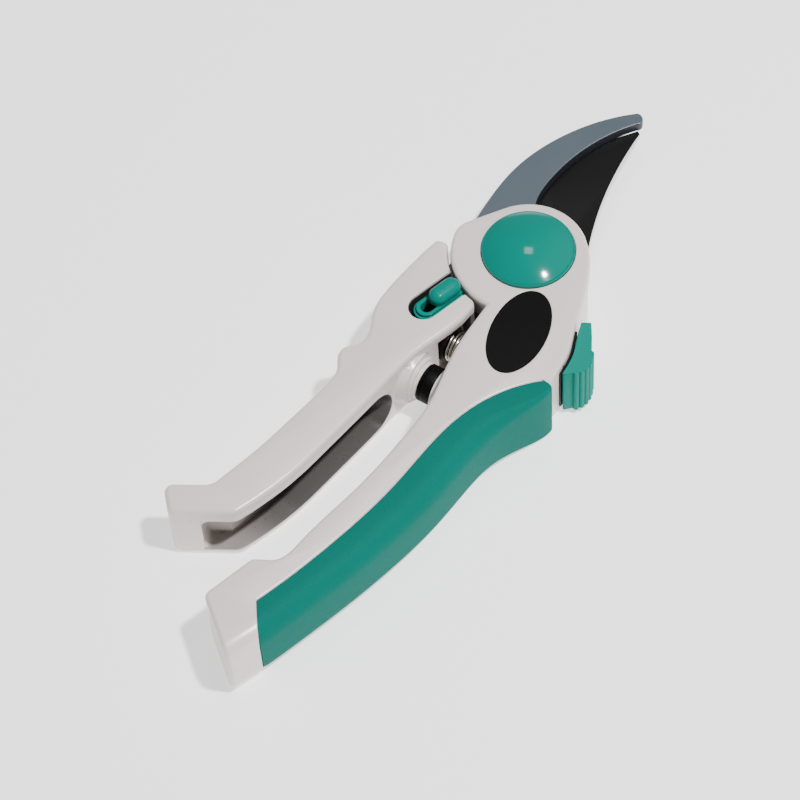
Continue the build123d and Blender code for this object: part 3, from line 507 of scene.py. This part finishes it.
# %% All finishes
finishes = {
    "painted_casting": casting_paint("casting_paint"),
    "grip_rubber": soft_rubber("grip_rubber", "00665B", rough=0.75, relief=0.02),
    "cap_plastic": moulded_plastic(
        "cap_plastic", "007A6D", rough=0.1, relief=0.002, ior=1.45, gloss=0.35
    ),
    "slider_plastic": moulded_plastic(
        "slider_plastic", "007F71", rough=0.55, relief=0.012, ior=1.33, gloss=0.15
    ),
    "knob_plastic": moulded_plastic(
        "knob_plastic", "007A6E", rough=0.2, relief=0.004, ior=1.36, gloss=0.25
    ),
    "hook_coating": hook_coating(),
    "blade_coating": blade_coating(),
    "bumper_rubber": soft_rubber("bumper_rubber", "050505", rough=0.55, relief=0.02),
    "black_plastic": moulded_plastic(
        "black_plastic", "0C0C0D", rough=0.45, relief=0.012, ior=1.33
    ),
    "badge_black": moulded_plastic("badge_black", "060607", rough=0.25, relief=0.002, ior=1.33),
    "bright_steel": bright_metal("bright_steel", "B9BABD", rough=0.3),
    "spring_steel": bright_metal("spring_steel", "CFCBC2", rough=0.22),
    "bronze": bright_metal("bronze", "B08A55", rough=0.35),
}
slot_of = {row["node"]: row["material_slot"] for row in frame["record"]["subparts"]}
for name, node in frame["nodes"].items():
    node.data.materials.clear()
    node.data.materials.append(finishes[slot_of[name]])
print(len(finishes), "finishes on", len(slot_of), "nodes")

# %% [markdown]
# ## From construction mesh to casting
# A CAD mesh is made of loose triangles with knife-sharp edges, but no real casting or moulding
# has those. Each node below is copied, its triangles are joined into one skin, and flat areas
# are cleared of their inner edges.

# %% Merged copies
TINY, SMALL = 0.002 * MM, 0.004 * MM  # distances under which points or edges are tidied away
FLAT_ANGLE = 0.4  # degrees; faces that turn by less are one flat face
SHARP_ANGLE = 32  # degrees; an edge that turns by more is a real edge


def merged(node):
    """A copy of a CAD node as one skin."""
    shape = bmesh.new()
    shape.from_mesh(frame["nodes"][node].data)
    bmesh.ops.remove_doubles(shape, verts=shape.verts, dist=TINY)
    bmesh.ops.dissolve_degenerate(shape, edges=shape.edges, dist=SMALL)
    flat = math.radians(FLAT_ANGLE)
    bmesh.ops.dissolve_limit(shape, angle_limit=flat, verts=shape.verts, edges=shape.edges)
    return shape


def put(name, shape, body, slot, nodes, sharp=SHARP_ANGLE):
    """Makes a shape a smooth piece that rides on a body and stands for CAD nodes."""
    data = bpy.data.meshes.new(name)
    shape.to_mesh(data)
    shape.free()
    data.shade_smooth()
    data.set_sharp_from_angle(angle=math.radians(sharp))
    data.materials.append(finishes[slot])
    piece = bpy.data.objects.new(name, data)
    bpy.context.scene.collection.objects.link(piece)
    if body:
        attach(piece, body)
    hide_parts(*nodes)
    print(name, len(data.polygons), "faces")
    return piece


# %% [markdown]
# A Bevel modifier breaks every edge by a fraction of a millimetre, which is what catches the
# light. In a corner that is tighter than the bevel is wide, the new faces cross and a point is
# thrown out of the shape. The bevel is tried once, the points that stand above the top or below
# the underside are noted, and the edges near them stay sharp.

# %% Broken edges
BREAK_STEPS = 2
STANDS_PROUD = 0.01 * MM
TIGHT_CORNER = 1.0 * MM


def break_edges(piece, width):
    """Rounds every real edge of a piece, by a width in millimetres."""
    bevel = piece.modifiers.new("broken edges", "BEVEL")
    bevel.width = width * MM
    bevel.segments = BREAK_STEPS
    bevel.limit_method = "ANGLE"
    bevel.angle_limit = math.radians(SHARP_ANGLE)
    bevel.use_clamp_overlap = False
    bevel.harden_normals = True


def spare_tight_corners(piece):
    """Leaves edges sharp near the points where the bevel stands proud of the piece."""
    shape = bmesh.new()
    shape.from_mesh(piece.data)
    weight = shape.edges.layers.float.new("bevel_weight_edge")
    low = min(vert.co.z for vert in shape.verts) - STANDS_PROUD
    high = max(vert.co.z for vert in shape.verts) + STANDS_PROUD
    solid = piece.evaluated_get(bpy.context.evaluated_depsgraph_get()).to_mesh()
    proud = [vert.co.copy() for vert in solid.vertices if not low < vert.co.z < high]
    for edge in shape.edges:
        tight = any((v.co - point).length < TIGHT_CORNER for v in edge.verts for point in proud)
        real = edge.calc_face_angle(0.0) > math.radians(SHARP_ANGLE)
        edge[weight] = 1.0 if real and not tight else 0.0
    shape.to_mesh(piece.data)
    shape.free()
    piece.modifiers["broken edges"].limit_method = "WEIGHT"
    print(piece.name, "had", len(proud), "points that stood proud")


# %% [markdown]
# The two castings come first. Each has its own paint, because each has its own painted shade.

# %% Castings
CASTING_EDGE = 0.25

# Each casting's paint carries the painted shade of its own gaps and recesses.
finishes["lever_paint_and_shade"] = casting_paint("lever_paint_and_shade", lever_painted_shade)
finishes["body_paint_and_shade"] = casting_paint("body_paint_and_shade", head_gap_painted_shade)
body_shell = put("body_shell", merged("body_casting"), "body", "painted_casting", ["body_casting"])
lever_shell = put(
    "lever_shell", merged("lever_casting"), "lever", "painted_casting", ["lever_casting"]
)
lever_shell.data.materials[0] = finishes["lever_paint_and_shade"]
body_shell.data.materials[0] = finishes["body_paint_and_shade"]
for shell in (body_shell, lever_shell):
    break_edges(shell, CASTING_EDGE)
    spare_tight_corners(shell)

# %% [markdown]
# The stamped and moulded parts are made the same way. The row for each says which body it rides
# on and how wide its broken edges are, in millimetres: a hook is tumbled until its edges feel
# soft, a blade keeps crisp ones, and moulded plastic lies between.

# %% Stamped and moulded parts
edge_widths = {
    "hook_blade": ("body", 0.32),
    "cutting_blade": ("lever", 0.12),
    "badge_plate": ("body", 0.08),
    "slider_strip": ("body", 0.12),
    "thumb_slider": ("thumb", 0.22),
    "lock_guide": ("lever", 0.2),
    "lock_knob": ("lock", 0.15),
    "spring_seat_lever": ("lever", 0.2),
    "spring_seat_body": ("body", 0.2),
}
for node, (body, width) in edge_widths.items():
    piece = put(node + "_soft", merged(node), body, slot_of[node], [node])
    break_edges(piece, width)

# %% [markdown]
# ## Rubber grip
# The grip is moulded on the casting. Along the hand its outer edge is a large soft round, but at
# its upper end the section squares up to a crisp corner with a flat end. The CAD solid has one
# radius all along. Here the grip is a row of sections instead, each with its own radius, and
# each is extruded into the next. Rays shot at the CAD mesh tell where its ridge and its flank
# are, and a smooth curve is fitted to each, so that the light runs along them unbroken.

# %% The grip's ridge and flank
RIDGE, FLANK = 1, -1  # the side that a ray looks for, which is also the way it goes along X
RIDGE_DEPTH = 2.3  # how far below the top the ridge is measured, above the casting's core
LOW_CLEARANCE = 0.4  # the first section stands this far from the CAD grip's lowest point
RAY_GAP, RAY_CLEARANCE = 1.5, 0.1  # between two rays, and between a ray and an end
RAY_START = 0.1  # metres; well outside the shears
CURVE_MIDDLE, CURVE_DEGREE = -85, 8

grip_low, grip_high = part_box("handle_grip")
thick = grip_high.z / MM
top_end = grip_high.y / MM
grip_mesh = bmesh.new()
grip_mesh.from_mesh(frame["nodes"]["handle_grip"].data)
grip_tree = BVHTree.FromBMesh(grip_mesh)
ridge_end = min(grip_mesh.verts, key=lambda v: v.co.x).co.y / MM
grip_mesh.free()


def wall_at(y, side):
    """Where a ray along X meets the grip's ridge or its flank, in millimetres."""
    height = thick - RIDGE_DEPTH if side == RIDGE else thick / 2
    start = Vector((-RAY_START * side, y * MM, height * MM))
    return grip_tree.ray_cast(start, Vector((side, 0, 0)))[0].x / MM


low_end = grip_low.y / MM + LOW_CLEARANCE
flank_places = np.arange(low_end, top_end - RAY_CLEARANCE, RAY_GAP)
ridge_places = np.arange(ridge_end + RAY_CLEARANCE, top_end - RAY_CLEARANCE, RAY_GAP)
flank_walls = [wall_at(y, FLANK) for y in flank_places]
ridge_walls = [wall_at(y, RIDGE) for y in ridge_places]
flank_curve = np.polyfit(flank_places - CURVE_MIDDLE, flank_walls, CURVE_DEGREE)
ridge_curve = np.polyfit(ridge_places - CURVE_MIDDLE, ridge_walls, CURVE_DEGREE)
miss = np.abs(np.polyval(flank_curve, flank_places - CURVE_MIDDLE) - flank_walls)
print("the flank's curve is within", round(float(miss.max()), 2), "mm of the CAD flank")

# %% [markdown]
# Below the ridge's end, the grip is cut off by a slanted wall against the heel. Two rays tell
# where that straight wall is. It never passes the flank, so the grip ends in a narrow edge.

# %% The slanted lower end
near_ridge_end, far_from_it = ridge_end - 1, ridge_end - 5
wall_near_end = wall_at(near_ridge_end, RIDGE)
end_slope = (wall_near_end - wall_at(far_from_it, RIDGE)) / (near_ridge_end - far_from_it)
print("the slanted end moves", round(end_slope, 2), "mm across for each along")

# %% Sections of the grip
GRIP_ROUND = 5.6  # radius of the outer edge along the hand
GRIP_CRISP = 0.9  # radius of the same edge at the upper end
SQUARE_OVER = 26  # length over which one becomes the other
CORNER_ROUND = 1.5  # radius of the upper end's corner on the flank
EDGE_ROUND = 0.35  # radius of the small edges beside the casting and round the upper end
EDGE_STEP = 0.1  # how far in the point halfway round a small edge lies
FLAT_SHARES = (0.67, 0.33)  # places of two more points across the flat top
ROUND_STEPS = 10


def inset(radius, gap):
    """How far a round stands back from an edge, at a gap from the edge it meets."""
    return 0.0 if gap >= radius else radius - math.sqrt(radius ** 2 - (radius - gap) ** 2)


def slanted_end(y):
    """The straight wall between the grip's lower end and the heel."""
    return min(wall_near_end + (y - near_ridge_end) * end_slope, wall_at(y, FLANK) - EDGE_ROUND)


def outer_radius(y):
    """Radius of the outer edge, which goes smoothly from soft to crisp near the upper end."""
    square = min(1.0, max(0.0, 1 + (y - top_end) / SQUARE_OVER))
    return GRIP_ROUND + (GRIP_CRISP - GRIP_ROUND) * square * square * (3 - 2 * square)


def section_at(y):
    """The grip's outline across the handle: from ridge to flank along the top, back below."""
    flank = float(np.polyval(flank_curve, y - CURVE_MIDDLE)) - inset(CORNER_ROUND, top_end - y)
    on_curve = y > ridge_end
    ridge = float(np.polyval(ridge_curve, y - CURVE_MIDDLE)) if on_curve else slanted_end(y)
    width = flank - ridge
    radius = outer_radius(y)
    room = max(0.0, width - EDGE_ROUND - radius)
    outs = [radius + room * share for share in FLAT_SHARES]
    turns = [math.pi / 2 * i / ROUND_STEPS for i in range(ROUND_STEPS + 1)]
    outs += [radius * (1 - math.sin(turn)) for turn in turns]
    points = [(width, EDGE_ROUND), (width - EDGE_STEP, EDGE_STEP)]
    points += [(min(width - EDGE_ROUND, out), 0.0) for out in outs]
    end = inset(EDGE_ROUND, top_end - y)
    upper = [(flank - out, inset(radius, out) + extra + end) for out, extra in points]
    lower = reversed(upper)
    return [(x, thick - depth) for x, depth in upper] + [(x, depth) for x, depth in lower]


print("a section of the grip has", len(section_at(ridge_end)), "points")

# %% [markdown]
# The first section is drawn as a ring of edges. Each next one is the same ring extruded and
# moved to its own outline, and sections crowd together at the rounded upper end.

# %% Grip
LOW_SECTIONS, HAND_SECTIONS = 8, 60
PAST_RIDGE_END, BEFORE_TOP = 0.2, 2.0
END_GAPS = (1.5, 1.1, 0.75, 0.45, 0.25, 0.1, 0.02, 0.0)
RUBBER_ANGLE = 40  # degrees; softer edges than on metal are shaded smooth

places = list(np.linspace(low_end, ridge_end, LOW_SECTIONS))
places += list(np.linspace(ridge_end + PAST_RIDGE_END, top_end - BEFORE_TOP, HAND_SECTIONS))
places += [top_end - gap for gap in END_GAPS]
grip = bmesh.new()
ring = [grip.verts.new((x * MM, places[0] * MM, z * MM)) for x, z in section_at(places[0])]
rim = [grip.edges.new((a, b)) for a, b in zip(ring, ring[1:] + ring[:1])]
for y in places[1:]:
    made = bmesh.ops.extrude_edge_only(grip, edges=rim)["geom"]
    fresh = {v for v in made if isinstance(v, bmesh.types.BMVert)}
    ring = [next(e.other_vert(v) for e in v.link_edges if e.other_vert(v) in fresh) for v in ring]
    rim = [grip.edges.get((a, b)) for a, b in zip(ring, ring[1:] + ring[:1])]
    for vert, (x, z) in zip(ring, section_at(y)):
        vert.co = (x * MM, y * MM, z * MM)
bmesh.ops.holes_fill(grip, edges=[e for e in grip.edges if e.is_boundary])
bmesh.ops.remove_doubles(grip, verts=grip.verts, dist=SMALL)
bmesh.ops.dissolve_degenerate(grip, edges=grip.edges, dist=TINY)
bmesh.ops.recalc_face_normals(grip, faces=grip.faces)
put("rubber_grip", grip, "body", "grip_rubber", ["handle_grip"], sharp=RUBBER_ANGLE)

# %% [markdown]
# ## Pivot cap
# The cap is a shallow dome with a narrow rim round it. A profile spun about the pivot is the
# honest way to make a turned shape: the dome is drawn as a shallow curve, then a fine groove,
# then the rolled rim, and last the skirt that sits in the head.

# %% Turned shapes


def turned(profile, centre, axis, steps=96):
    """A solid of revolution; each point gives a radius and a height, in millimetres."""
    shape = bmesh.new()
    out = Vector((1, 0, 0)) if axis.z else Vector((0, 0, 1))
    points = [shape.verts.new(centre + (out * radius + axis * height) * MM)
              for radius, height in profile]
    rims = [shape.edges.new(pair) for pair in zip(points, points[1:])]
    bmesh.ops.spin(
        shape, geom=points + rims, cent=centre, axis=axis, angle=2 * math.pi, steps=steps,
        use_merge=True,
    )
    bmesh.ops.remove_doubles(shape, verts=shape.verts, dist=TINY)
    bmesh.ops.recalc_face_normals(shape, faces=shape.faces)
    return shape


# %% Cap
RIM_WIDTH = 0.5
DOME_LIFT = 0.85  # height of the dome's edge above the head
SEAT_DEPTH = 0.8  # how far the skirt goes into the head
DOME_STEPS = 14

head_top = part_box("body_casting")[1].z / MM
cap_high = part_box("pivot_cap")[1]
cap_radius = cap_high.x / MM
dome_edge = cap_radius - RIM_WIDTH
dome_foot = head_top + DOME_LIFT
dome_rise = cap_high.z / MM - dome_foot
shares = [i / DOME_STEPS for i in range(DOME_STEPS + 1)]
dome = [(dome_edge * share, dome_foot + dome_rise * (1 - share * share)) for share in shares]
cap_groove = [(0.05, -0.12), (0.13, -0.12), (0.18, -0.05)]  # out from the dome's edge, and up
cap_roll = [(0.32, -0.06), (RIM_WIDTH - 0.05, -0.2), (RIM_WIDTH, -0.5)]
rim = [(dome_edge + out, dome_foot + up) for out, up in cap_groove + cap_roll]
skirt = [(cap_radius, head_top - SEAT_DEPTH), (0.0, head_top - SEAT_DEPTH)]
cap = turned(dome + rim + skirt, Vector((0, 0, 0)), Vector((0, 0, 1)))
put("round_cap", cap, "body", "cap_plastic", ["pivot_cap"])

# %% [markdown]
# ## Rubber bumper
# The bumper is turned too, about an axis that runs from handle to handle. Its side has one fine
# groove, and its face is dished round the screw that holds it.

# %% Bumper
BORE, SCREW_ROOM, SINK_DEPTH = 1.36, 2.46, 2.0  # two radii, and how deep the screw's head sits
SOFT_EDGE, FACE_ROUND = 0.25, 0.8
STOP_GROOVE = [(0.0, 0.9), (0.2, 1.05), (0.2, 1.3), (0.0, 1.45)]  # depth, and place on the side
DISH_RADIUS, DISH_FOOT = 2.9, 2.5

stop_low, stop_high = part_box("bumper")
stop_centre = Vector((0, (stop_low.y + stop_high.y) / 2, (stop_low.z + stop_high.z) / 2))
side = (stop_high.z - stop_low.z) / 2 / MM
left, right = stop_low.x / MM, stop_high.x / MM
sink = right - SINK_DEPTH
stop_profile = [(BORE, left), (side - SOFT_EDGE, left), (side, left + SOFT_EDGE)]
stop_profile += [(side - depth, left + up) for depth, up in STOP_GROOVE]
stop_profile += [
    (side, right - FACE_ROUND), (side - SOFT_EDGE, right - SOFT_EDGE), (side - FACE_ROUND, right),
    (DISH_RADIUS, right), (DISH_FOOT, right - SOFT_EDGE),
    (SCREW_ROOM, sink), (BORE, sink), (BORE, left),
]
stop = turned(stop_profile, stop_centre, Vector((1, 0, 0)), steps=64)
put("rubber_stop", stop, "lever", "bumper_rubber", ["bumper"], sharp=RUBBER_ANGLE)

# %% [markdown]
# ## Return spring
# A coil is a small ring of wire that is spun and pushed along at the same time, which the spin
# operator does in one call. The spring stretches across the joint when the handles open; here it
# is attached to neither body.

# %% Spring
WIRE_RADIUS, WIRE_SIDES, WIRE_ANGLE = 0.42 * MM, 9, 60
TURNS, STEPS_PER_TURN = 7, 30

coil_low, coil_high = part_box("handle_spring")
coil_centre = Vector((0, (coil_low.y + coil_high.y) / 2, (coil_low.z + coil_high.z) / 2))
coil_radius = (coil_high.z - coil_low.z) / 2 - WIRE_RADIUS
steps = TURNS * STEPS_PER_TURN
push = (coil_high.x - coil_low.x - 2 * WIRE_RADIUS) / steps
spring = bmesh.new()
start = (coil_low.x + WIRE_RADIUS, coil_centre.y, coil_centre.z + coil_radius)
across_wire = Matrix.Translation(start) @ Matrix.Rotation(math.pi / 2, 4, "X")
bmesh.ops.create_circle(
    spring, cap_ends=False, segments=WIRE_SIDES, radius=WIRE_RADIUS, matrix=across_wire
)
bmesh.ops.spin(
    spring, geom=spring.verts[:] + spring.edges[:], cent=coil_centre, axis=(1, 0, 0),
    dvec=(push, 0, 0), angle=2 * math.pi * TURNS, steps=steps,
)
bmesh.ops.holes_fill(spring, edges=[e for e in spring.edges if e.is_boundary])
bmesh.ops.recalc_face_normals(spring, faces=spring.faces)
coil = put("return_coil", spring, None, "spring_steel", ["handle_spring"], sharp=WIRE_ANGLE)
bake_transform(coil)
